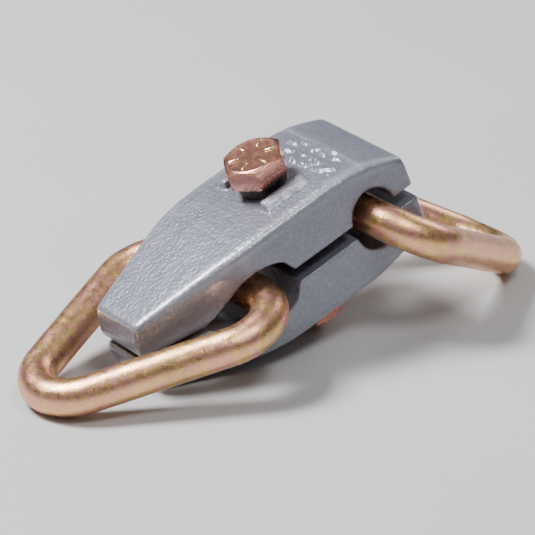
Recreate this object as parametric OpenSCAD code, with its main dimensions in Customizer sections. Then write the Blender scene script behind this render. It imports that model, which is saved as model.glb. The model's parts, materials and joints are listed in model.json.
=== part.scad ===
// Two-jaw pull clamp for sheet metal: two mirrored cast jaws, a hex bolt with its washer
// and captive nut, a spreader spring between the jaws, and two triangular pull rings.
// Each piece is drawn in the clamp's own frame: X from the nose to the rear, Y across,
// Z along the bolt, with z = 0 midway between the jaws. on_floor() then stands the clamp
// at rest on a floor, on its lower nose and the end of its bolt, with both rings down.

/* [Jaws] */
// Length of a jaw from its nose to its rear face
body_l = 105; // [96:1:140]
// Width of a jaw behind the taper
body_w = 45.5; // [38:0.5:60]
// Height of a jaw from its parting face to its outer face
jaw_h = 18.6; // [16:0.1:26]
// Space between the two parting faces at rest
jaw_gap = 5; // [4:0.5:8]
// Width of the nose
tip_w = 24; // [18:0.5:34]
// Height of the nose
tip_h = 10.8; // [9:0.1:14]
// Distance from the end of the jaw's taper back to the middle of the front ring's rod
taper_back = 1.36; // [0:0.02:4]
// Height of the rear face
rear_h = 11.5; // [9:0.1:15]
// Length of the slope that falls to the rear face
rear_slope_l = 15.5; // [10:0.5:22]
// How far the nose leans forward at the parting face
nose_lean = 1.6; // [0:0.1:3]
// Radius of the long outer edges
edge_r = 2.5; // [1:0.1:4]
// Radius of the edges round the nose and the rear face
end_r = 1.2; // [0.5:0.1:3]

/* [Mouth] */
// Distance from the gripping land to the front and the sides of the nose
land_inset = 0.8; // [0.3:0.1:2]
// Height of the gripping land above the parting face
land_h = 1.5; // [1:0.1:1.9]
// Distance from one tooth to the next
tooth_pitch = 2.5; // [2:0.1:4]
// Depth of the grooves between the teeth
tooth_depth = 1; // [0.5:0.1:1.2]
// Width of the smooth border of the land on each side of the grooves
tooth_border = 3; // [1:0.1:5]

/* [Bolt, washer and nut] */
// Diameter of the bolt
bolt_d = 12.7; // [10:0.1:16]
// Width of the head and of the nut across flats
head_af = 19.05; // [17:0.05:27]
// Height of the bolt's head
head_h = 7.94; // [6:0.02:11]
// Height of the nut
nut_h = 11.1; // [8:0.1:14]
// Thickness of the washer
washer_t = 4.2; // [2:0.1:6]
// Width of the washer's ring
washer_wall = 1.6; // [1:0.1:2.2]
// How far the bolt stands out of the nut at rest
bolt_spare = 2.8; // [1:0.1:12]
// How far the head's top circle lies inside its flats
head_inset = 0.6; // [0:0.1:1]
// Clearance all round the bolt in the jaws
hole_clear = 0.8; // [0.3:0.05:1.2]
// Clearance all round the bolt in the washer
washer_clear = 0.25; // [0.1:0.05:0.5]
// Clearance all round the bolt in the nut
thread_clear = 0.1; // [0.05:0.01:0.1]

/* [Nut ribs] */
// Length of the ribs beside the nut and the washer
rib_l = 17; // [10:0.5:24]
// Height of the ribs
rib_h = 2.6; // [1.5:0.1:4]
// Clearance between a rib and the flat of the nut
rib_clear = 0.475; // [0.2:0.025:1]
// Width of a rib at its top
rib_top_w = 2.4; // [2:0.1:4]
// Width of a rib at its foot
rib_foot_w = 5.4; // [4:0.1:6]

/* [Spreader spring] */
// Diameter of the spring's wire
wire_d = 1.8; // [1.2:0.1:2]
// Clearance between the spring and the bolt
coil_clear = 0.45; // [0.3:0.05:1]
// Gap between the closed turns at each end of the spring
close_gap = 0.05; // [0.02:0.01:0.2]
// Clearance between the spring and the wall of its seat
seat_clear = 0.4; // [0.3:0.05:1]
// Depth of the spring's seat in each jaw
seat_depth = 5; // [3:0.5:7]
// Number of turns of the spring
spring_turns = 4.5; // [3.5:0.5:5.5]

/* [Pull rings] */
// Diameter of the rings' rod
rod_d = 12.7; // [10:0.1:15.3]
// Radius of the ring's three bends, on the rod's centreline
bend_r = 16; // [14:0.5:22]
// Clearance between the ring's legs and the sides of the jaws
ring_side_clear = 6.4; // [5:0.1:12]
// Free length inside the front ring ahead of the nose
ring_reach = 24.1; // [20:0.1:45]

/* [Ring pockets] */
// Clearance between the rear ring and its channel
channel_clear = 1.45; // [0.5:0.05:2]
// Clearance above the front ring in its pocket
crown_clear = 3.4; // [1:0.1:4]
// Clearance ahead of the front ring, measured at the parting face
pocket_front_clear = 10.5; // [6:0.1:13]
// Clearance behind the front ring, measured at the parting face
pocket_rear_clear = 6.6; // [3:0.1:9]
// Slope of the pocket's front ramp
ramp_angle = 30; // [25:1:40]
// Slope of the pocket's rear wall
wall_angle = 60; // [50:1:75]
// Radius of the pocket's crown
crown_r = 18; // [14:0.5:22]
// Radius between the crown and the rear wall
corner_r = 5; // [2:0.5:6]
// Wall between the front pocket and the spring's seat
front_web = 2; // [1.5:0.1:6]
// Wall between the spring's seat and the rear channel
rear_web = 4.9; // [2:0.1:8]
// Lip behind the rear channel
rear_lip = 8.5; // [6:0.1:12]

/* [Hidden] */

cast_grey = [0.63, 0.65, 0.67];
yellow_zinc = [0.83, 0.66, 0.45];
dark_steel = [0.27, 0.24, 0.25];
spring_steel = [0.45, 0.46, 0.48];

round_fn = 64;
rod_sides = 24;
cast_fn = 32;
arc_step = 6;

// Radii of the round pieces and holes
rod_r = rod_d / 2;
bolt_r = bolt_d / 2;
hole_r = bolt_r + hole_clear;
washer_bore_r = bolt_r + washer_clear;
coil_r = bolt_r + coil_clear + wire_d / 2;
seat_r = coil_r + wire_d / 2 + seat_clear;
bolt_chamfer = 1;
head_face_h = 0.4;
cone_angle = 30;
// How far a cutter reaches past what it cuts, and a raised piece into what it stands on
past = 1;
// Height of the foot of a cast corner, and of the nose's lower corners
foot_h = 0.5;
nose_foot_h = 3 * end_r;

// The rings: outer width, and the radius that a bend sweeps inside the jaws' width
ring_w = body_w + 2 * ring_side_clear + rod_d;
bend_y = ring_w / 2 - bend_r;
bend_inner_r = bend_r - rod_r;
bend_in_jaw = body_w / 2 - bend_y;
ring_sweep = bend_r - sqrt(pow(bend_inner_r, 2) - pow(bend_in_jaw, 2));
channel_r = ring_sweep + channel_clear;

// Places along the jaws, from the rear face forward
rear_eye_x = body_l - rear_lip - channel_r;
bolt_x = rear_eye_x - channel_r - rear_web - seat_r;
pocket_rear_x = bolt_x - seat_r - front_web;
front_eye_x = pocket_rear_x - pocket_rear_clear - ring_sweep;
ramp_x = front_eye_x - ring_sweep - pocket_front_clear;
taper_l = front_eye_x - taper_back;
ring_l = front_eye_x + nose_lean + ring_reach + rod_r;

// Heights along the bolt, from z = 0 midway between the jaws
outer_z = jaw_gap / 2 + jaw_h;
head_z = outer_z + washer_t;
bolt_l = washer_t + 2 * outer_z + nut_h + bolt_spare;
bolt_end_z = head_z - bolt_l;

// The front pocket's outline above a parting face: ramp, crown, corner and rear wall
pocket_h = ring_sweep - jaw_gap / 2 + crown_clear;
crown_z = pocket_h - crown_r;
crown_x = ramp_x + (crown_z + crown_r * cos(ramp_angle)) / tan(ramp_angle) + crown_r * sin(ramp_angle);
wall_along = [-cos(wall_angle), sin(wall_angle)];
wall_out = [sin(wall_angle), cos(wall_angle)];
wall_foot = [pocket_rear_x, 0];
from_crown = wall_foot - corner_r * wall_out - [crown_x, crown_z];
wall_rise = -from_crown * wall_along
    + sqrt(pow(from_crown * wall_along, 2) - from_crown * from_crown + pow(crown_r - corner_r, 2));
corner = wall_foot - corner_r * wall_out + wall_rise * wall_along;
blend_angle = atan2(corner[1] - crown_z, corner[0] - crown_x);

// Rest pose: the pitch that puts the lower nose and the bolt's end on one level, the lift
// to the floor, and how far each ring falls before its far bend lies on the floor
nose = [end_r, end_r - jaw_gap / 2 - tip_h];
bolt_foot = [bolt_x - bolt_r + bolt_chamfer, bolt_end_z];
reach = bolt_foot - nose;
pitch = atan2(-reach[1], reach[0]) - asin(end_r / norm(reach));
lift = -(bolt_foot[0] * sin(pitch) + bolt_foot[1] * cos(pitch));
front_eye_h = front_eye_x * sin(pitch) + lift;
rear_eye_h = rear_eye_x * sin(pitch) + lift;
front_fall = asin((front_eye_h - rod_r) / ring_l);
rear_fall = asin((rear_eye_h - rod_r) / ring_l);
front_end_x = front_eye_x * cos(pitch) - ring_l * cos(front_fall) - rod_r;
rear_end_x = rear_eye_x * cos(pitch) + ring_l * cos(rear_fall) + rod_r;
middle_x = (front_end_x + rear_end_x) / 2;

function arc(centre, r, from, to) =
    let (steps = ceil(abs(to - from) / arc_step))
    [for (i = [0 : steps]) let (a = from + (to - from) * i / steps) centre + r * [cos(a), sin(a)]];

// Stands a piece drawn in the clamp's frame on the floor
module on_floor()
    translate([-middle_x, 0, lift])
        rotate([0, -pitch, 0])
            children();

// Extrudes an XZ outline across the jaws' whole width
module across(width)
    rotate([90, 0, 0])
        linear_extrude(height = width, center = true)
            children();

// A corner of the casting rounded by r, with its top at the height z and its foot on z = 0
module cast_corner(x, y, z, r) {
    translate([x, y, z - r])
        sphere(r = r, $fn = cast_fn);
    translate([x, y, 0])
        cylinder(r = r, h = foot_h, $fn = cast_fn);
}

// The solid outside shape of a jaw, with its parting face at z = 0 and its ribs upwards
module jaw_blank() {
    hull()
        for (side = [-1, 1]) {
            cast_corner(end_r, side * (tip_w / 2 - end_r), tip_h, end_r);
            cast_corner(end_r - nose_lean, side * (tip_w / 2 - end_r), nose_foot_h, end_r);
            cast_corner(taper_l, side * (body_w / 2 - edge_r), jaw_h, edge_r);
            cast_corner(body_l - rear_slope_l, side * (body_w / 2 - edge_r), jaw_h, edge_r);
            cast_corner(body_l - end_r, side * (body_w / 2 - end_r), rear_h, end_r);
        }
    for (side = [-1, 1])
        rib(side);
}

// One of the two ribs that keep the nut from turning
module rib(side) {
    inner_y = head_af / 2 + rib_clear;
    translate([bolt_x, 0, jaw_h])
        rotate([90, 0, 90])
            linear_extrude(height = rib_l, center = true)
                polygon([[side * inner_y, -past], [side * (inner_y + rib_foot_w), -past],
                         [side * (inner_y + rib_foot_w), 0], [side * (inner_y + rib_top_w), rib_h],
                         [side * inner_y, rib_h]]);
}

// The gripping land under the nose, with grooves cut across it
module mouth_land() {
    front_x = land_inset - nose_lean;
    front_y = tip_w / 2 - land_inset;
    rear_y = front_y + (front_eye_x - front_x) * (body_w - tip_w) / 2 / taper_l;
    difference() {
        translate([0, 0, -land_h])
            linear_extrude(height = land_h + 2 * past)
                polygon([[front_x, -front_y], [front_eye_x, -rear_y], [front_eye_x, rear_y], [front_x, front_y]]);
        for (x = [front_x + tooth_pitch : tooth_pitch : ramp_x - tooth_pitch])
            translate([x, 0, -land_h])
                across(2 * (front_y - tooth_border))
                    polygon([[-tooth_depth, 0], [0, tooth_depth], [tooth_depth, 0], [0, -tooth_depth]]);
    }
}

// The space for the front ring: a ramp, a crown and a steep rear wall
module front_pocket() {
    below = land_h + past;
    across(body_w + 2 * past)
        polygon(concat(
            [[ramp_x - below / tan(ramp_angle), -below]],
            arc([crown_x, crown_z], crown_r, 90 + ramp_angle, blend_angle),
            arc(corner, corner_r, blend_angle, 90 - wall_angle),
            [wall_foot, wall_foot - [0, below]]));
}

// A jaw with its parting face at z = 0
module jaw() {
    difference() {
        union() {
            jaw_blank();
            mouth_land();
        }
        front_pocket();
        translate([rear_eye_x, 0, 0])
            rotate([90, 0, 0])
                cylinder(r = channel_r, h = body_w + 2 * past, center = true, $fn = round_fn);
        translate([bolt_x, 0, -past])
            cylinder(r = hole_r, h = jaw_h + 2 * past, $fn = round_fn);
        translate([bolt_x, 0, -past])
            cylinder(r = seat_r, h = seat_depth + past, $fn = round_fn);
    }
}

module upper_jaw()
    color(cast_grey)
        on_floor()
            translate([0, 0, jaw_gap / 2])
                jaw();

module lower_jaw()
    color(cast_grey)
        on_floor()
            mirror([0, 0, 1])
                translate([0, 0, jaw_gap / 2])
                    jaw();

// A hexagonal prism across Z with two flats facing Y, its corners cut back by a cone at
// the top, and at the foot too if cut_both is true
module hexagon(height, cut_both) {
    corner_radius = head_af / sqrt(3);
    top_r = head_af / 2 - head_inset;
    cut = (corner_radius - top_r) * tan(cone_angle);
    intersection() {
        cylinder(r = corner_radius, h = height, $fn = 6);
        rotate_extrude($fn = round_fn)
            polygon([[0, 0], [cut_both ? top_r : corner_radius, 0], [corner_radius, cut],
                     [corner_radius, height - cut], [top_r, height], [0, height]]);
    }
}

module clamp_bolt()
    color(yellow_zinc)
        on_floor()
            translate([bolt_x, 0, head_z]) {
                translate([0, 0, head_face_h])
                    hexagon(head_h - head_face_h, false);
                cylinder(r = head_af / 2 - head_face_h, h = head_face_h, $fn = round_fn);
                translate([0, 0, -bolt_l])
                    rotate_extrude($fn = round_fn)
                        polygon([[0, 0], [bolt_r - bolt_chamfer, 0], [bolt_r, bolt_chamfer],
                                 [bolt_r, bolt_l], [0, bolt_l]]);
            }

module bolt_washer()
    color(dark_steel)
        on_floor()
            translate([bolt_x, 0, outer_z])
                difference() {
                    cylinder(r = washer_bore_r + washer_wall, h = washer_t, $fn = round_fn);
                    translate([0, 0, -past])
                        cylinder(r = washer_bore_r, h = washer_t + 2 * past, $fn = round_fn);
                }

module hex_nut()
    color(yellow_zinc)
        on_floor()
            translate([bolt_x, 0, -outer_z - nut_h])
                difference() {
                    hexagon(nut_h, true);
                    translate([0, 0, -past])
                        cylinder(r = bolt_r + thread_clear, h = nut_h + 2 * past, $fn = round_fn);
                }

// The spring's wire, wound round Z: its first and last turns lie close, the others open
spring_end_gap = 0.1;
spring_half = jaw_gap / 2 + seat_depth - spring_end_gap - wire_d / 2;
close_turns = 0.9;
close_rise = close_turns * (wire_d + close_gap);
turn_steps = 24;
wire_sides = 10;
wire_steps = round(spring_turns * turn_steps);

function spring_z(turn) =
    turn < close_turns ? -spring_half + close_rise * turn / close_turns :
    turn > spring_turns - close_turns ? spring_half - close_rise * (spring_turns - turn) / close_turns :
    (turn - spring_turns / 2) * (spring_half - close_rise) / (spring_turns / 2 - close_turns);

function wire_point(step, side) =
    let (a = 360 * step / turn_steps, b = 360 * side / wire_sides, r = coil_r + wire_d / 2 * cos(b))
    [r * cos(a), r * sin(a), spring_z(step / turn_steps) + wire_d / 2 * sin(b)];

module spreader_spring()
    color(spring_steel)
        on_floor()
            translate([bolt_x, 0, 0])
                polyhedron(
                    points = [for (i = [0 : wire_steps]) for (j = [0 : wire_sides - 1]) wire_point(i, j)],
                    faces = concat(
                        [[for (j = [0 : wire_sides - 1]) j]],
                        [for (i = [0 : wire_steps - 1]) for (j = [0 : wire_sides - 1])
                            let (k = (j + 1) % wire_sides, low = i * wire_sides, high = low + wire_sides)
                            each [[low + j, high + j, high + k], [low + j, high + k, low + k]]],
                        [[for (j = [wire_sides - 1 : -1 : 0]) wire_steps * wire_sides + j]]));

// A pull ring lying flat, its crossing rod along Y at x = 0 and its far bend towards +X.
// Each bend turns its rod round a centre, from one angle to another, and the straight
// lengths are what joins the end of one bend to the start of the next.
ring_leg_angle = atan2(bend_y, ring_l - 2 * bend_r);
ring_bends = [[[bend_r, bend_y], 180, 90 - ring_leg_angle],
              [[ring_l - bend_r, 0], 90 - ring_leg_angle, ring_leg_angle - 90],
              [[bend_r, -bend_y], ring_leg_angle - 90, -180]];
bend_step = 5;

function bend_stations(bend) =
    let (steps = ceil((bend[1] - bend[2]) / bend_step))
    [for (i = [0 : steps]) [bend[0], bend[1] + (bend[2] - bend[1]) * i / steps]];

// The legs and bends are drawn this much thinner than the rod, as bending leaves them
bend_thinning = 0.02;
bent_r = rod_r - bend_thinning;

function rod_point(station, side) =
    let (b = 360 * side / rod_sides, r = bend_r + bent_r * cos(b))
    concat(station[0] + r * [cos(station[1]), sin(station[1])], bent_r * sin(b));

module pull_ring() {
    stations = [for (bend = ring_bends) each bend_stations(bend)];
    count = len(stations);
    polyhedron(
        points = [for (station = stations) for (j = [0 : rod_sides - 1]) rod_point(station, j)],
        faces = [for (i = [0 : count - 1]) for (j = [0 : rod_sides - 1])
            let (k = (j + 1) % rod_sides, here = i * rod_sides, next = (i + 1) % count * rod_sides)
            each [[here + j, next + j, next + k], [here + j, next + k, here + k]]]);
    rotate([90, 0, 0])
        cylinder(r = rod_r, h = 2 * bend_y, center = true, $fn = round_fn);
}

module front_pull_ring()
    color(yellow_zinc)
        translate([front_eye_x * cos(pitch) - middle_x, 0, front_eye_h])
            rotate([0, -front_fall, 0])
                mirror([1, 0, 0])
                    pull_ring();

module rear_pull_ring()
    color(yellow_zinc)
        translate([rear_eye_x * cos(pitch) - middle_x, 0, rear_eye_h])
            rotate([0, rear_fall, 0])
                pull_ring();

upper_jaw();
lower_jaw();
clamp_bolt();
bolt_washer();
hex_nut();
spreader_spring();
front_pull_ring();
rear_pull_ring();
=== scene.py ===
"""Looks for the two-jaw pull clamp: cast and painted jaws, a threaded bolt with its
washer and nut, the spreader spring, and two plated pull rings, on a pale floor."""
import json
import math

import bmesh
import bpy
import numpy as np
from mathutils import Matrix, Vector, noise


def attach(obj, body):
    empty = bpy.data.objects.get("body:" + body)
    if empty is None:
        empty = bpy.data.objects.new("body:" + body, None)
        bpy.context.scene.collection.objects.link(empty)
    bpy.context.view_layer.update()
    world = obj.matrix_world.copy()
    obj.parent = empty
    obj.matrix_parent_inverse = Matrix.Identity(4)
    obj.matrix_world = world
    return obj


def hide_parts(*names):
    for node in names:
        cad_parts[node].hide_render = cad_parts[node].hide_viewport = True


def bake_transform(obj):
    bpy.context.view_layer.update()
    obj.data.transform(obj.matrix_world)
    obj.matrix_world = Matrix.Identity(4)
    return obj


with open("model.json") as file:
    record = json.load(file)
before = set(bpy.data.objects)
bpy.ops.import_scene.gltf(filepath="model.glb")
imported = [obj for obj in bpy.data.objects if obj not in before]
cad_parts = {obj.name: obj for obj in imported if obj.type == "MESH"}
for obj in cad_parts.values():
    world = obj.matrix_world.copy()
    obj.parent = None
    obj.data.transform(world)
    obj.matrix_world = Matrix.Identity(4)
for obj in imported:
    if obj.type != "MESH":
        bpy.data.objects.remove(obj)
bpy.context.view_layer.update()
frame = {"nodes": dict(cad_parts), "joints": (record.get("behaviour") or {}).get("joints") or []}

MM = 0.001
JOINTS = {joint["name"]: joint for joint in frame["joints"]}
Y = Vector((0, 1, 0))

# The part's own sizes, as in the CAD, in metres. Bolt and nut:
BOLT_R = 6.35 * MM
BOLT_L = 60.3 * MM
HEAD_AF = 19.05 * MM
HEAD_H = 7.94 * MM
HEAD_FACE_H = 0.4 * MM
HEAD_INSET = 0.6 * MM
THREAD_L = 31.75 * MM
THREAD_PITCH = 25.4 / 13 * MM
THREAD_DEPTH = 1.05 * MM
NUT_H = 11.1 * MM
NUT_BORE_R = 6.45 * MM
CONE_ANGLE = math.radians(30)

# Washer and spring
WASHER_T = 4.2 * MM
WASHER_BORE_R = 6.6 * MM
WASHER_R = 8.2 * MM
WIRE_D = 1.8 * MM
COIL_R = 7.7 * MM
SEAT_DEPTH = 5 * MM
SPRING_TURNS = 4.5

# Jaws, with x measured from the nose
BODY_L = 105 * MM
BODY_W = 45.5 * MM
BOLT_X = 65.873 * MM
JAW_H = 18.6 * MM
JAW_GAP = 5 * MM
TIP_H = 10.8 * MM
TIP_W = 24 * MM
LAND_H = 1.5 * MM
TAPER_L = 39.999 * MM
REAR_SLOPE_L = 15.5 * MM
REAR_H = 11.5 * MM

# Pull rings
BEND_R = 16 * MM


# ---- The clamp's own frame -------------------------------------------------------------

def clamp_matrix():
    """The clamp's frame: X to the rear, Y across, Z along the bolt, zero under its head."""
    seat = Vector(JOINTS["bolt_turn"]["pos_m"])
    up = Vector(JOINTS["bolt_turn"]["axis"]).normalized()
    rear = Y.cross(up)
    m = Matrix.Identity(4)
    for i in range(3):
        m[i][0], m[i][1], m[i][2], m[i][3] = rear[i], Y[i], up[i], seat[i]
    return m


CLAMP = clamp_matrix()
CLAMP_INV = CLAMP.inverted()
UPPER_OUTER_Z = -WASHER_T
UPPER_PART_Z = UPPER_OUTER_Z - JAW_H
LOWER_PART_Z = UPPER_PART_Z - JAW_GAP
LOWER_OUTER_Z = LOWER_PART_Z - JAW_H


def local_points(obj, inverse):
    """An object's vertices in the frame whose inverse matrix is given, one row each."""
    co = np.empty(len(obj.data.vertices) * 3)
    obj.data.vertices.foreach_get("co", co)
    m = np.array(inverse)
    return co.reshape(-1, 3) @ m[:3, :3].T + m[:3, 3]


# ---- Mesh helpers ----------------------------------------------------------------------

def piece(name, mesh, body, node, material, place):
    """Links a mesh as a piece that stands for a CAD node and, if a body is given, rides on it."""
    mesh.transform(place)
    mesh.polygons.foreach_set("use_smooth", [True] * len(mesh.polygons))
    mesh.materials.clear()
    mesh.materials.append(material)
    obj = bpy.data.objects.new(name, mesh)
    bpy.context.scene.collection.objects.link(obj)
    if body:
        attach(obj, body)
    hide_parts(node)
    return obj


def grid_mesh(name, rows, close_rows=False):
    """A mesh from closed rings of points joined in order, with its two ends joined or capped."""
    count, sides = len(rows), len(rows[0])
    verts = [point for row in rows for point in row]
    faces = []
    for i in range(count if close_rows else count - 1):
        here, after = i * sides, (i + 1) % count * sides
        for j in range(sides):
            k = (j + 1) % sides
            faces.append((here + j, here + k, after + k, after + j))
    if not close_rows:
        faces.append(tuple(range(sides))[::-1])
        faces.append(tuple(range((count - 1) * sides, count * sides)))
    mesh = bpy.data.meshes.new(name)
    mesh.from_pydata(verts, [], faces)
    mesh.update()
    fix_normals(mesh)
    return mesh


def fix_normals(mesh):
    """Turns every face's normal outward."""
    bm = bmesh.new()
    bm.from_mesh(mesh)
    bmesh.ops.recalc_face_normals(bm, faces=bm.faces)
    bm.to_mesh(mesh)
    bm.free()


def evaluated(mesh, setup):
    """The mesh after the modifiers that setup adds."""
    obj = bpy.data.objects.new("work", mesh)
    bpy.context.scene.collection.objects.link(obj)
    setup(obj)
    depsgraph = bpy.context.evaluated_depsgraph_get()
    result = bpy.data.meshes.new_from_object(obj.evaluated_get(depsgraph))
    bpy.data.objects.remove(obj)
    return result


def polar(r, angle, z):
    """A point at a radius and an angle about the Z axis."""
    return (r * math.cos(angle), r * math.sin(angle), z)


def set_attribute(mesh, name, values):
    """Stores one number for each vertex, for the materials to read."""
    attribute = mesh.attributes.new(name, "FLOAT", "POINT")
    attribute.data.foreach_set("value", np.asarray(values, np.float32))


def fractal(point, size, octaves=3):
    """Seedless noise of about -1 to 1, whose largest features are size across."""
    total, weight = 0.0, 1.0
    p = Vector(point) / size
    for _ in range(octaves):
        total += weight * noise.noise(p)
        weight *= 0.5
        p = p * 2.03 + Vector((5.2, 1.3, 7.7))
    return total


# ---- Materials -------------------------------------------------------------------------

class Nodes:
    """A short way to write one material's node tree."""

    def __init__(self, name):
        self.material = bpy.data.materials.new(name)
        self.material.use_nodes = True
        self.tree = self.material.node_tree
        self.shader = self.tree.nodes["Principled BSDF"]
        self.coords = self.add("ShaderNodeTexCoord").outputs["Object"]

    def add(self, kind, **settings):
        node = self.tree.nodes.new(kind)
        for key, value in settings.items():
            setattr(node, key, value)
        return node

    def link(self, source, target):
        self.tree.links.new(source, target)

    def noise(self, scale, detail=4.0, rough=0.5, distortion=0.0):
        node = self.add("ShaderNodeTexNoise")
        self.link(self.coords, node.inputs["Vector"])
        node.inputs["Scale"].default_value = scale
        node.inputs["Detail"].default_value = detail
        node.inputs["Roughness"].default_value = rough
        node.inputs["Distortion"].default_value = distortion
        return node.outputs["Fac"]

    def ramp(self, source, stops):
        node = self.add("ShaderNodeValToRGB")
        self.link(source, node.inputs["Fac"])
        elements = node.color_ramp.elements
        while len(elements) < len(stops):
            elements.new(0.5)
        for element, (place, value) in zip(elements, stops):
            element.position = place
            element.color = (*value, 1)
        return node.outputs["Color"]

    def spread(self, source, low, high, out_low=0.0, out_high=1.0):
        node = self.add("ShaderNodeMapRange")
        self.link(source, node.inputs["Value"])
        limits = {"From Min": low, "From Max": high, "To Min": out_low, "To Max": out_high}
        for key, value in limits.items():
            node.inputs[key].default_value = value
        return node.outputs["Result"]

    def mix(self, fac, a, b):
        node = self.add("ShaderNodeMix", data_type="RGBA")
        for socket, value in ((node.inputs[0], fac), (node.inputs[6], a), (node.inputs[7], b)):
            if isinstance(value, bpy.types.NodeSocket):
                self.link(value, socket)
            elif isinstance(value, tuple):
                socket.default_value = (*value, 1)
            else:
                socket.default_value = value
        return node.outputs[2]

    def attribute(self, name):
        return self.add("ShaderNodeAttribute", attribute_name=name).outputs["Fac"]

    def bump(self, heights):
        """Chains bumps: each is (height socket, strength, distance in metres)."""
        last = None
        for height, strength, distance in heights:
            node = self.add("ShaderNodeBump")
            node.inputs["Strength"].default_value = strength
            node.inputs["Distance"].default_value = distance
            self.link(height, node.inputs["Height"])
            if last is not None:
                self.link(last, node.inputs["Normal"])
            last = node.outputs["Normal"]
        self.link(last, self.shader.inputs["Normal"])

    def set(self, **values):
        for key, value in values.items():
            socket = self.shader.inputs[key.replace("_", " ")]
            if isinstance(value, bpy.types.NodeSocket):
                self.link(value, socket)
            else:
                socket.default_value = value


def cast_paint():
    """Blue-grey silver paint over a rough casting, with a painted highlight on the outer edges and
    painted shade in the hollows.
    """
    n = Nodes("cast_grey_paint")
    broad = n.spread(n.noise(30, 5, 0.6), 0.3, 0.7)
    base = n.mix(broad, (0.158, 0.162, 0.212), (0.192, 0.197, 0.248))
    grain = n.spread(n.noise(850, 3, 0.6), 0.40, 0.66, 0.0, 0.25)
    base = n.mix(grain, base, (0.36, 0.37, 0.43))
    # painted highlight: lighter paint along the convex outer edges, where the light glances off
    edge_highlight = n.spread(n.attribute("edge_highlight"), 0.1, 1.0, 0.0, 0.45)
    base = n.mix(edge_highlight, base, (0.42, 0.43, 0.48))
    # painted shade: darker paint in the hollows between and inside the jaws, where little light reaches
    hollow_shade = n.spread(n.attribute("hollow_shade"), 0.2, 1.0, 0.0, 0.75)
    base = n.mix(hollow_shade, base, (0.085, 0.075, 0.085))
    specks = n.spread(n.noise(330, 2, 0.5), 0.74, 0.78, 0.0, 0.45)
    base = n.mix(specks, base, (0.09, 0.08, 0.09))
    n.set(Base_Color=base, Metallic=0.35, IOR=1.5)
    n.set(Roughness=n.spread(n.noise(160, 4, 0.6), 0.3, 0.7, 0.30, 0.42))
    n.set(Coat_Weight=0.60, Coat_Roughness=0.14)
    peel = n.spread(n.noise(760, 3, 0.5), 0.25, 0.75)
    n.bump([(n.noise(110, 2, 0.5), 0.20, 0.0004), (peel, 0.55, 0.00030),
            (n.noise(1700, 2, 0.5), 0.3, 0.0001)])
    return n.material


def yellow_zinc(name, colours, roughness, bumps):
    """Yellow zinc dichromate on steel: gold, rose and olive in blotches and fine streaks."""
    n = Nodes(name)
    gold, rose, olive, pale, soot = colours
    blotch = n.noise(62, 5, 0.62, 0.8)
    colour = n.ramp(blotch, [(0.36, olive), (0.45, gold), (0.53, rose), (0.60, gold), (0.68, pale)])
    streak = n.spread(n.noise(420, 5, 0.75, 1.6), 0.42, 0.58)
    colour = n.mix(n.spread(n.noise(150, 3), 0.35, 0.6, 0.25, 0.75), colour, n.mix(streak, gold, rose))
    dull = n.spread(n.noise(1100, 4, 0.75), 0.52, 0.68, 0.0, 0.50)
    colour = n.mix(dull, colour, soot)
    raised = n.attribute("raised")
    n.set(Base_Color=n.mix(raised, colour, (1.0, 0.80, 0.46)), Metallic=1.0)
    n.set(Roughness=n.spread(n.noise(420, 4, 0.65), 0.3, 0.7, *roughness))
    n.bump([(n.noise(scale, 3, 0.6), strength, distance) for scale, strength, distance in bumps])
    return n.material


def dark_steel():
    """Blackened steel with a faint brown bloom and fine turning marks."""
    n = Nodes("dark_steel")
    base = n.mix(n.spread(n.noise(220, 4), 0.35, 0.65), (0.050, 0.044, 0.046), (0.105, 0.085, 0.080))
    n.set(Base_Color=base, Metallic=0.85)
    n.set(Roughness=n.spread(n.noise(500, 3), 0.3, 0.7, 0.34, 0.52))
    n.bump([(n.noise(900, 3), 0.3, 0.00012)])
    return n.material


def spring_steel():
    """Drawn spring wire, grey with faint heat tint."""
    n = Nodes("spring_steel")
    base = n.mix(n.spread(n.noise(300, 4), 0.35, 0.65), (0.30, 0.30, 0.32), (0.44, 0.42, 0.40))
    n.set(Base_Color=base, Metallic=1.0)
    n.set(Roughness=n.spread(n.noise(700, 3), 0.3, 0.7, 0.26, 0.40))
    n.bump([(n.noise(1600, 3), 0.25, 0.00008)])
    return n.material


PAINT = cast_paint()
RING_ZINC = yellow_zinc(
    "ring_zinc",
    ((0.86, 0.58, 0.18), (0.80, 0.33, 0.33), (0.58, 0.38, 0.17), (1.0, 0.80, 0.34), (0.46, 0.27, 0.25)),
    (0.24, 0.42), ((200, 0.30, 0.0003), (1000, 0.5, 0.0002), (2600, 0.6, 0.0001)))
BOLT_ZINC = yellow_zinc(
    "bolt_zinc",
    ((0.80, 0.40, 0.25), (0.76, 0.30, 0.28), (0.70, 0.33, 0.25), (0.88, 0.54, 0.32), (0.52, 0.22, 0.20)),
    (0.20, 0.32), ((400, 0.25, 0.00015), (1500, 0.4, 0.00006)))
DARK = dark_steel()
SPRING = spring_steel()


# ---- Cast jaws -------------------------------------------------------------------------

VOXEL = 0.5 * MM
SMOOTH_PASSES = 3
EDGE_PASSES = 26
HIGHLIGHT_CONVEXITY = 0.045 * MM
SHADE_HALF_W = 21 * MM
SHADE_H = 12 * MM
SKIN_H = 0.085 * MM
SKIN_SIZE = 6 * MM
SKIN_INWARD = 0.35
TOP_FACING = 0.75
LAND_CLEAR = 0.04 * MM
# Lengths over which the creases of the outline are rounded
FRONT_BLEND = 2.6 * MM
REAR_BLEND = 5.6 * MM
SIDE_BLEND = 2.4 * MM
# Heights above the parting face over which an effect fades in, toward the outer face
HIGHLIGHT_RISE = (8 * MM, 13 * MM)
CROWN_RISE = (8.5 * MM, 13 * MM)
SOFTEN_RISE = (7.5 * MM, 10.5 * MM)
# Half length and half width of the area round the bolt that holds the ribs
RIB_AREA = (12 * MM, 17 * MM)

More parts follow.
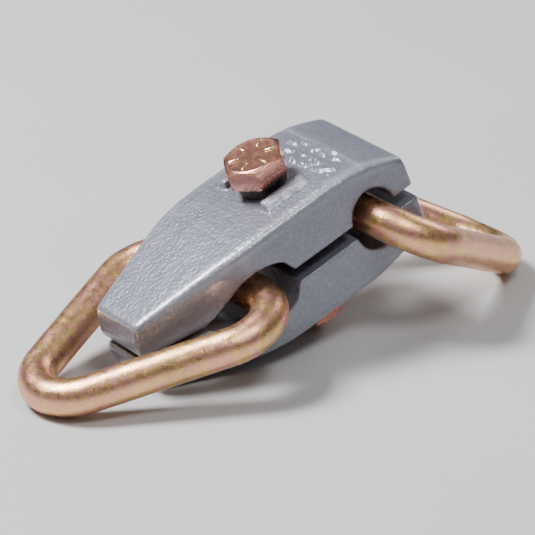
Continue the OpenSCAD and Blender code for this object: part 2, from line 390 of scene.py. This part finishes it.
# Bands of lumps behind the bolt, in millimetres: start, end, reach to each side, noise seed
LUMP_BANDS = ((12.6, 18.4, 17.5, 3.1), (20.0, 24.6, 14.5, 8.7))
LUMP_H = 0.78 * MM


def smooth_step(value, low, high):
    t = np.clip((value - low) / (high - low), 0, 1)
    return t * t * (3 - 2 * t)


def soft_min(first, second, blend):
    """The lower of two heights, with the crease between them rounded."""
    t = np.clip(0.5 + 0.5 * (second - first) / blend, 0, 1)
    return second * (1 - t) + first * t - blend * t * (1 - t)


def crown_drop(x):
    """How far below the creased outline the rounded outer face lies, at x from the nose."""
    front = TIP_H + (JAW_H - TIP_H) * x / TAPER_L
    rear = REAR_H + (JAW_H - REAR_H) * (BODY_L - x) / REAR_SLOPE_L
    flat = np.full_like(x, JAW_H)
    sharp = np.minimum(np.minimum(front, rear), flat)
    soft = soft_min(soft_min(flat, rear, REAR_BLEND), front, FRONT_BLEND)
    return np.maximum(sharp - soft, 0)


def side_drop(x):
    """The same for the half width, where the tapered sides meet the straight ones."""
    taper = TIP_W / 2 + (BODY_W - TIP_W) / 2 * x / TAPER_L
    flat = np.full_like(x, BODY_W / 2)
    return np.maximum(np.minimum(taper, flat) - soft_min(flat, taper, SIDE_BLEND), 0)


def cast_lumps(x, y):
    """Height of the uneven lumps left in two bands across the casting behind the bolt."""
    height = 0.0
    along = x / MM + 0.10 * y / MM
    for start, end, reach, seed in LUMP_BANDS:
        inside = min(along - start, end - along, reach - abs(y / MM - 0.5))
        if inside <= 0:
            continue
        p = Vector((along / 3.4, y / (2.3 * MM), seed))
        lump = noise.noise(p) + 0.45 * noise.noise(p * 2.3)
        height = max(height, min(1.0, inside / 0.7) * min(1.0, max(0.0, lump + 0.20) * 2.8))
    return LUMP_H * height


def remeshed(solid):
    """A CAD solid in the clamp's frame, with an even skin of small faces."""
    mesh = solid.data.copy()
    mesh.transform(CLAMP_INV)

    def remesh(obj):
        voxel = obj.modifiers.new("voxel", "REMESH")
        voxel.mode = "VOXEL"
        voxel.voxel_size = VOXEL
        smooth = obj.modifiers.new("smooth", "SMOOTH")
        smooth.factor = 0.5
        smooth.iterations = SMOOTH_PASSES

    return evaluated(mesh, remesh)


def mark_painted_light(mesh, co, normal, rise, outward):
    """Stores where a painted highlight lightens the paint, on outer edges, and where painted shade
    darkens it, in the hollows.
    """
    # painted highlight on the convex outer edges, faded in toward the outer face
    painted_highlight = np.clip(convexity(mesh, co, normal) / HIGHLIGHT_CONVEXITY, 0, 1)
    set_attribute(mesh, "edge_highlight", painted_highlight * smooth_step(rise, *HIGHLIGHT_RISE))
    # painted shade on inward-facing faces near the middle, close to the parting face
    inside = np.clip(1 - np.abs(co[:, 1]) / SHADE_HALF_W, 0, 1) * (np.abs(normal[:, 1]) < 0.5)
    facing_in = np.clip(-normal[:, 2] * outward + 0.35, 0, 1)
    set_attribute(mesh, "hollow_shade", np.clip(2 * inside, 0, 1) * facing_in * (rise < SHADE_H))


def skin_height(co, normal, outward):
    """How far the rough cast skin, and the lumps on the upper jaw, lift each vertex."""
    height = np.zeros(len(co))
    for i, p in enumerate(co):
        height[i] = SKIN_H * (fractal(p, SKIN_SIZE, 4) - SKIN_INWARD)
        if outward > 0 and normal[i][2] > TOP_FACING:
            height[i] += cast_lumps(p[0], p[1]) * min(1.0, (normal[i][2] - TOP_FACING) * 8)
    return height


def cast_jaw(node, body, outer_z, part_z):
    """A jaw remeshed from its CAD solid, its edges softened and its skin left as cast."""
    mesh = remeshed(frame["nodes"][node])
    outward = 1 if outer_z > part_z else -1
    soften_edges(mesh, part_z, outward)
    co = vertex_vectors(mesh, "co")
    normal = vertex_vectors(mesh, "normal")
    rise = (co[:, 2] - part_z) * outward
    mark_painted_light(mesh, co, normal, rise, outward)

    co += normal * skin_height(co, normal, outward)[:, None]
    along = co[:, 0] + BOLT_X
    co[:, 2] -= outward * crown_drop(along) * smooth_step(rise, *CROWN_RISE)
    co[:, 1] *= 1 - side_drop(along) / (BODY_W / 2)
    rise = np.maximum((co[:, 2] - part_z) * outward, LAND_CLEAR - LAND_H)
    co[:, 2] = part_z + outward * rise
    mesh.vertices.foreach_set("co", co.ravel())
    mesh.update()
    return piece(node + "_casting", mesh, body, node, PAINT, CLAMP)


def vertex_vectors(mesh, kind):
    """A copy of the mesh's vertex positions or normals, one row each."""
    values = np.empty(len(mesh.vertices) * 3)
    mesh.vertices.foreach_get(kind, values)
    return values.reshape(-1, 3)


def neighbours(mesh):
    """A function that gives the mean of each vertex's neighbours."""
    edges = np.empty(len(mesh.edges) * 2, np.int64)
    mesh.edges.foreach_get("vertices", edges)
    a, b = edges.reshape(-1, 2).T
    count = len(mesh.vertices)
    degree = np.bincount(np.concatenate([a, b]), minlength=count).clip(1)

    def mean(values):
        columns = values.reshape(count, -1).T
        sums = [np.bincount(a, column[b], count) + np.bincount(b, column[a], count)
                for column in columns]
        return (np.array(sums) / degree).T.reshape(values.shape)

    return mean


def soften_edges(mesh, part_z, outward):
    """Rounds the casting's long outer edges and its crown, and leaves ribs and pockets alone."""
    mean = neighbours(mesh)
    co = vertex_vectors(mesh, "co")
    rise = (co[:, 2] - part_z) * outward
    near_rib = (np.abs(co[:, 0]) < RIB_AREA[0]) & (np.abs(co[:, 1]) < RIB_AREA[1])
    weight = smooth_step(rise, *SOFTEN_RISE) * ~near_rib
    for _ in range(3):
        weight = mean(weight) * (weight > 0)
    for _ in range(EDGE_PASSES):
        co += 0.5 * weight[:, None] * (mean(co) - co)
    mesh.vertices.foreach_set("co", co.ravel())
    mesh.update()


def convexity(mesh, co, normal):
    """How far each vertex stands out of its neighbours' mean, smoothed over a few rings."""
    mean = neighbours(mesh)
    around = co
    for _ in range(4):
        around = mean(around)
    out = ((co - around) * normal).sum(1)
    for _ in range(4):
        out = 0.5 * out + 0.5 * mean(out)
    return out


# ---- Bolt, washer, nut and spring ------------------------------------------------------

def hexagon_rows(height, cut_both, per_flat=12):
    """Rings of points up a hexagon with two flats facing Y, its corners cut back by a cone."""
    corner_r = HEAD_AF / math.sqrt(3)
    soft_r = corner_r - 0.18 * MM
    top_r = HEAD_AF / 2 - HEAD_INSET
    cut = (corner_r - top_r) * math.tan(CONE_ANGLE)
    steps = 14
    levels = [(cut * i / steps, top_r + (corner_r - top_r) * i / steps)
              for i in range(steps + 1)]
    foot = levels if cut_both else [(0.0, corner_r)]
    rows = []
    for z, limit in foot + [(height - rise, limit) for rise, limit in reversed(levels)]:
        ring = []
        for j in range(6 * per_flat):
            angle = math.radians(60 * j / per_flat)
            within = (angle + math.pi / 6) % (math.pi / 3) - math.pi / 6
            flat = HEAD_AF / 2 / math.cos(within)
            ring.append(polar(min(flat, soft_r, limit), angle + math.pi / 6, z))
        rows.append(ring)
    return rows


def scaled_ring(ring, factor, z):
    """A ring drawn in toward the axis by a factor and moved to height z."""
    return [(x * factor, y * factor, z) for x, y, _ in ring]


def round_ring(r, z, sides, turn=0.0):
    """A circle of points at height z, the first of them at the angle turn."""
    return [polar(r, 2 * math.pi * j / sides + turn, z) for j in range(sides)]


def thread_rows(r, low_z, high_z, sides, end_chamfer, turn):
    """Rings of points down a shank with a helical thread from low_z up to high_z."""
    step = THREAD_PITCH / 10
    count = int((high_z - low_z) / step)
    rows = []
    for i in range(count + 1):
        z = low_z + (high_z - low_z) * i / count
        fade = min(1.0, (high_z - z) / (2 * THREAD_PITCH))
        cut_back = max(0.0, end_chamfer - (z - low_z))
        ring = []
        for j in range(sides):
            angle = 2 * math.pi * j / sides
            phase = (z / THREAD_PITCH - j / sides) % 1.0
            groove = min(1.0, max(0.0, 1.35 - 2.7 * abs(phase - 0.5)))
            radius = r - THREAD_DEPTH * groove * fade
            ring.append(polar(min(radius, r - cut_back), angle + turn, z))
        rows.append(ring)
    return rows


def clamp_bolt():
    """The bolt: hex head with six radial lines, plain shank and threaded end."""
    sides, turn = 72, math.pi / 6
    r = BOLT_R - 0.02 * MM
    face_r = HEAD_AF / 2 - 0.4 * MM
    low = -BOLT_L
    thread_top = low + THREAD_L
    rows = [round_ring(radius, low, sides, turn) for radius in (0.01 * MM, r - 1.6 * MM)]
    rows += thread_rows(r, low, thread_top, sides, 1.0 * MM, turn)
    shank_and_face = [
        (r, thread_top + 0.2 * MM), (r, -0.5 * MM), (r + 0.06 * MM, -0.12 * MM),
        (r + 0.2 * MM, 0.02 * MM), (face_r - 0.15 * MM, 0.02 * MM),
        (face_r, 0.1 * MM), (face_r, HEAD_FACE_H - 0.02 * MM)]
    rows += [round_ring(radius, z, sides, turn) for radius, z in shank_and_face]
    head = hexagon_rows(HEAD_H - HEAD_FACE_H, False)
    rows.append(scaled_ring(head[0], 0.985, HEAD_FACE_H))
    for i, ring in enumerate(head):
        lift = 0.12 * MM if i == 0 else 0
        rows.append([(x, y, z + HEAD_FACE_H + lift) for x, y, z in ring])
    rim = rows[-1]
    dish = ((0.985, 0.0), (0.95, 0.05), (0.7, 0.08), (0.4, 0.08), (0.1, 0.08))
    rows += [scaled_ring(rim, factor, HEAD_H - drop * MM) for factor, drop in dish]
    mesh = grid_mesh("clamp_bolt", rows)
    add_grade_lines(mesh, HEAD_H)
    return piece("clamp_bolt_detail", mesh, "bolt", "clamp_bolt", BOLT_ZINC, CLAMP)


def add_grade_lines(mesh, top):
    """Six plain raised radial lines on the head, with rounded tops and narrower ends."""
    inner, outer, half_w = 4.2 * MM, 8.2 * MM, 0.46 * MM
    height, sunk = 0.42 * MM, 0.3 * MM
    base = top - 0.08 * MM
    sections = ((inner, 0.55), (inner + half_w, 1.0), (outer - half_w, 1.0), (outer, 0.55))
    profile = [(-1.0, -sunk), (-1.0, 0.45 * height), (-0.6, height),
               (0.6, height), (1.0, 0.45 * height), (1.0, -sunk)]
    bm = bmesh.new()
    bm.from_mesh(mesh)
    raised = bm.verts.layers.float.new("raised")
    for line in range(6):
        turn = Matrix.Rotation(math.radians(60 * line + 30), 4, "Z")
        loops = []
        for x, narrow in sections:
            points = [Vector((x, half_w * narrow * side, base + (z if z < 0 else z * narrow)))
                      for side, z in profile]
            loops.append([bm.verts.new(turn @ point) for point in points])
        for a, b in zip(loops, loops[1:]):
            for i in range(len(profile)):
                k = (i + 1) % len(profile)
                bm.faces.new((a[i], a[k], b[k], b[i]))
        bm.faces.new(loops[0])
        bm.faces.new(loops[-1][::-1])
        for vert in (vert for loop in loops for vert in loop):
            vert[raised] = 1.0
    bmesh.ops.recalc_face_normals(bm, faces=bm.faces)
    bm.to_mesh(mesh)
    bm.free()


def lathe(name, profile, sides=96):
    """A closed ring turned from a profile of (radius, z) points."""
    rows = [round_ring(r, z, sides) for r, z in profile]
    return grid_mesh(name, rows, close_rows=True)


def bevelled_profile(inner, outer, low, high, bevel):
    """A rectangle in (radius, z) with its four corners cut by short arcs."""
    corners = [(outer - bevel, low + bevel, -90), (outer - bevel, high - bevel, 0),
               (inner + bevel, high - bevel, 90), (inner + bevel, low + bevel, 180)]
    points = []
    for r, z, start in corners:
        for i in range(5):
            a = math.radians(start + 22.5 * i)
            points.append((r + bevel * math.cos(a), z + bevel * math.sin(a)))
    return points


def bolt_washer():
    """The collar washer, just clear of the jaw below it and the head above it."""
    low, high = UPPER_OUTER_Z + 0.01 * MM, -0.01 * MM
    profile = bevelled_profile(WASHER_BORE_R, WASHER_R, low, high, 0.4 * MM)
    mesh = lathe("bolt_washer", profile)
    return piece("bolt_washer_detail", mesh, "upper_half", "bolt_washer", DARK, CLAMP)


def hex_nut():
    """The nut: cone-cut corners at both ends and a threaded bore with a countersunk mouth."""
    outer = hexagon_rows(NUT_H, True)
    sides = len(outer[0])
    turn = math.pi / 6
    steps = 60
    inner = []
    for i in range(steps + 1):
        z = NUT_H * (1 - i / steps)
        mouth = max(0.0, 1.0 * MM - min(z, NUT_H - z))
        ring = []
        for j in range(sides):
            phase = (z / THREAD_PITCH - j / sides) % 1.0
            groove = 0.35 * MM * (1 - 2 * abs(phase - 0.5))
            ring.append(polar(NUT_BORE_R + max(groove * 0.4, mouth), 2 * math.pi * j / sides + turn, z))
        inner.append(ring)
    mesh = grid_mesh("hex_nut", outer + inner, close_rows=True)
    place = CLAMP @ Matrix.Translation((0, 0, LOWER_OUTER_Z - NUT_H))
    return piece("hex_nut_detail", mesh, "lower_half", "hex_nut", BOLT_ZINC, place)


def spreader_spring():
    """The spring, wound from seat to seat with closed end turns."""
    middle_z = (UPPER_PART_Z + LOWER_PART_Z) / 2
    wire_r = WIRE_D / 2
    half = JAW_GAP / 2 + SEAT_DEPTH - 0.1 * MM - wire_r
    close_turns = 0.9
    close_rise = close_turns * (WIRE_D + 0.05 * MM)
    steps_per_turn, sides = 40, 16
    rows = []
    for i in range(int(SPRING_TURNS * steps_per_turn) + 1):
        turn = i / steps_per_turn
        if turn < close_turns:
            z = -half + close_rise * turn / close_turns
        elif turn > SPRING_TURNS - close_turns:
            z = half - close_rise * (SPRING_TURNS - turn) / close_turns
        else:
            z = (turn - SPRING_TURNS / 2) * (half - close_rise) / (SPRING_TURNS / 2 - close_turns)
        angle = 2 * math.pi * turn
        ring = []
        for j in range(sides):
            b = 2 * math.pi * j / sides
            ring.append(polar(COIL_R + wire_r * math.cos(b), angle, middle_z + z + wire_r * math.sin(b)))
        rows.append(ring)
    mesh = grid_mesh("spreader_spring", rows)
    obj = piece("spreader_spring_coil", mesh, None, "spreader_spring", SPRING, CLAMP)
    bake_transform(obj)
    return obj


# ---- Pull rings ------------------------------------------------------------------------

RING_SIDES = 40
STATION_STEP = 1.1 * MM
UNEVEN_H = 0.10 * MM
UNEVEN_SIZE = 9 * MM
WELD_HALF_L = 1.6 * MM
WELD_H = 0.10 * MM
WELD_SIZE = 2 * MM
MOST_PROUD = 0.08 * MM


def ring_frame(node, joint):
    """A ring's own frame: X from its crossing rod to its far bend, Y across, Z out of its plane."""
    eye = Vector(JOINTS[joint]["pos_m"])
    points = local_points(frame["nodes"][node], Matrix.Translation(-eye))
    far = Vector(points[np.argmax((points ** 2).sum(1))])
    far.y = 0
    along = far.normalized()
    out = along.cross(Y)
    m = Matrix.Identity(4)
    for i in range(3):
        m[i][0], m[i][1], m[i][2], m[i][3] = along[i], Y[i], out[i], eye[i]
    own = local_points(frame["nodes"][node], m.inverted())
    rod_r = own[:, 2].max()
    return m, rod_r, own[:, 0].max() - rod_r, own[:, 1].max() - rod_r


def ring_stations(length, half_w):
    """Closed centreline of a ring as (point, angle of its outward normal), evenly spaced."""
    bend_y = half_w - BEND_R
    leg = math.atan2(bend_y, length - 2 * BEND_R)
    quarter = math.pi / 2
    bends = [(BEND_R, bend_y, math.pi, quarter - leg),
             (length - BEND_R, 0, quarter - leg, leg - quarter),
             (BEND_R, -bend_y, leg - quarter, -math.pi)]
    arcs = []
    for x, y, start, end in bends:
        steps = int(abs(end - start) * BEND_R / STATION_STEP)
        arcs.append([(Vector((x + BEND_R * math.cos(a), y + BEND_R * math.sin(a), 0)), a)
                     for a in (start + (end - start) * i / steps for i in range(steps + 1))])
    stations = []
    for arc, following in zip(arcs, arcs[1:] + arcs[:1]):
        stations += arc
        start, angle = arc[-1]
        gap = following[0][0] - start
        steps = int(gap.length / STATION_STEP)
        stations += [(start + gap * i / steps, angle) for i in range(1, steps)]
    return stations


def pull_ring(node, joint, body, seed):
    """A ring bent from round rod, with a slightly uneven skin and one dressed weld."""
    place, rod_r, length, half_w = ring_frame(node, joint)
    weld = Vector((length * 0.5, half_w * 0.62, 0))
    rows = []
    for point, angle in ring_stations(length, half_w):
        normal = Vector((math.cos(angle), math.sin(angle), 0))
        bead = math.exp(-((point - weld).length / WELD_HALF_L) ** 2)
        ring = []
        for j in range(RING_SIDES):
            b = 2 * math.pi * j / RING_SIDES
            direction = normal * math.cos(b) + Vector((0, 0, math.sin(b)))
            p = point + direction * rod_r
            rough = fractal(p + Vector((seed, 0, 0)), UNEVEN_SIZE, 3)
            radius = rod_r - UNEVEN_H + UNEVEN_H * rough
            radius += bead * WELD_H * (1 + fractal(p, WELD_SIZE, 1))
            ring.append(point + direction * min(radius, rod_r + MOST_PROUD))
        rows.append([tuple(v) for v in ring])
    mesh = grid_mesh(node, rows, close_rows=True)
    return piece(node + "_rod", mesh, body, node, RING_ZINC, place)


# ---- Floor, light and camera -----------------------------------------------------------

FLOOR_HALF = 6.0
LIGHT_TARGET = Vector((0, 0, 0.03))
# Name, place, side and power of each square light
LIGHTS = (("key", (-0.50, 0.45, 1.10), 0.40, 34.0), ("side", (1.1, 0.3, 0.7), 0.4, 3.5),
          ("front", (-0.05, -0.75, 1.25), 0.35, 8.0))
# Place on the ramp and brightness of the world, at its horizon and high up
SKY_TONES = ((0.0, 0.22), (0.85, 1.0))
SKY_STRENGTH = 0.32


def floor():
    """A plain pale floor that the clamp stands on."""
    n = Nodes("floor")
    tone = n.mix(n.spread(n.noise(3, 3), 0.3, 0.7), (0.50, 0.50, 0.505), (0.54, 0.54, 0.545))
    n.set(Base_Color=tone, Roughness=0.85)
    corners = [(x * FLOOR_HALF, y * FLOOR_HALF, 0) for x, y in ((-1, -1), (1, -1), (1, 1), (-1, 1))]
    mesh = bpy.data.meshes.new("floor")
    mesh.from_pydata(corners, [], [(0, 1, 2, 3)])
    mesh.materials.append(n.material)
    obj = bpy.data.objects.new("floor", mesh)
    bpy.context.scene.collection.objects.link(obj)


def sky():
    """A soft grey world, brighter overhead than at the horizon."""
    world = bpy.data.worlds.new("studio")
    world.use_nodes = True
    tree = world.node_tree
    coords = tree.nodes.new("ShaderNodeTexCoord")
    split = tree.nodes.new("ShaderNodeSeparateXYZ")
    ramp = tree.nodes.new("ShaderNodeValToRGB")
    tree.links.new(coords.outputs["Generated"], split.inputs["Vector"])
    tree.links.new(split.outputs["Z"], ramp.inputs["Fac"])
    tree.links.new(ramp.outputs["Color"], tree.nodes["Background"].inputs["Color"])
    for element, (place, tone) in zip(ramp.color_ramp.elements, SKY_TONES):
        element.position = place
        element.color = (tone, tone, tone * 1.03, 1)
    tree.nodes["Background"].inputs["Strength"].default_value = SKY_STRENGTH
    bpy.context.scene.world = world


def lights():
    for name, position, size, power in LIGHTS:
        light = bpy.data.lights.new(name, "AREA")
        light.shape = "SQUARE"
        light.size = size
        light.energy = power
        obj = bpy.data.objects.new(name, light)
        obj.location = position
        toward = LIGHT_TARGET - Vector(position)
        obj.rotation_euler = toward.to_track_quat("-Z", "Y").to_euler()
        bpy.context.scene.collection.objects.link(obj)


def camera():
    """A long lens that looks down on the clamp's nose and near side."""
    azimuth, elevation = math.radians(-33.55), math.radians(23.99)
    roll, distance = math.radians(-2.40), 1.300
    aim = Vector((-0.00387, -0.0019, 0.02608))
    back = Vector((math.sin(azimuth) * math.cos(elevation),
                   -math.cos(azimuth) * math.cos(elevation),
                   math.sin(elevation)))
    level = Vector((math.cos(azimuth), math.sin(azimuth), 0))
    right = level * math.cos(roll) + back.cross(level) * math.sin(roll)
    data = bpy.data.cameras.new("camera")
    data.sensor_width = 36.0
    data.lens = 269.2
    data.clip_start = 0.05
    data.clip_end = 50.0
    obj = bpy.data.objects.new("camera", data)
    turn = Matrix((right, back.cross(right), back)).transposed()
    obj.matrix_world = Matrix.Translation(aim + back * distance) @ turn.to_4x4()
    bpy.context.scene.collection.objects.link(obj)
    bpy.context.scene.camera = obj


camera()
floor()
sky()
lights()
cast_jaw("upper_jaw", "upper_half", UPPER_OUTER_Z, UPPER_PART_Z)
cast_jaw("lower_jaw", "lower_half", LOWER_OUTER_Z, LOWER_PART_Z)
clamp_bolt()
bolt_washer()
hex_nut()
spreader_spring()
pull_ring("front_pull_ring", "front_ring_swing", "front_ring", 0.0)
pull_ring("rear_pull_ring", "rear_ring_swing", "rear_ring", 0.4)
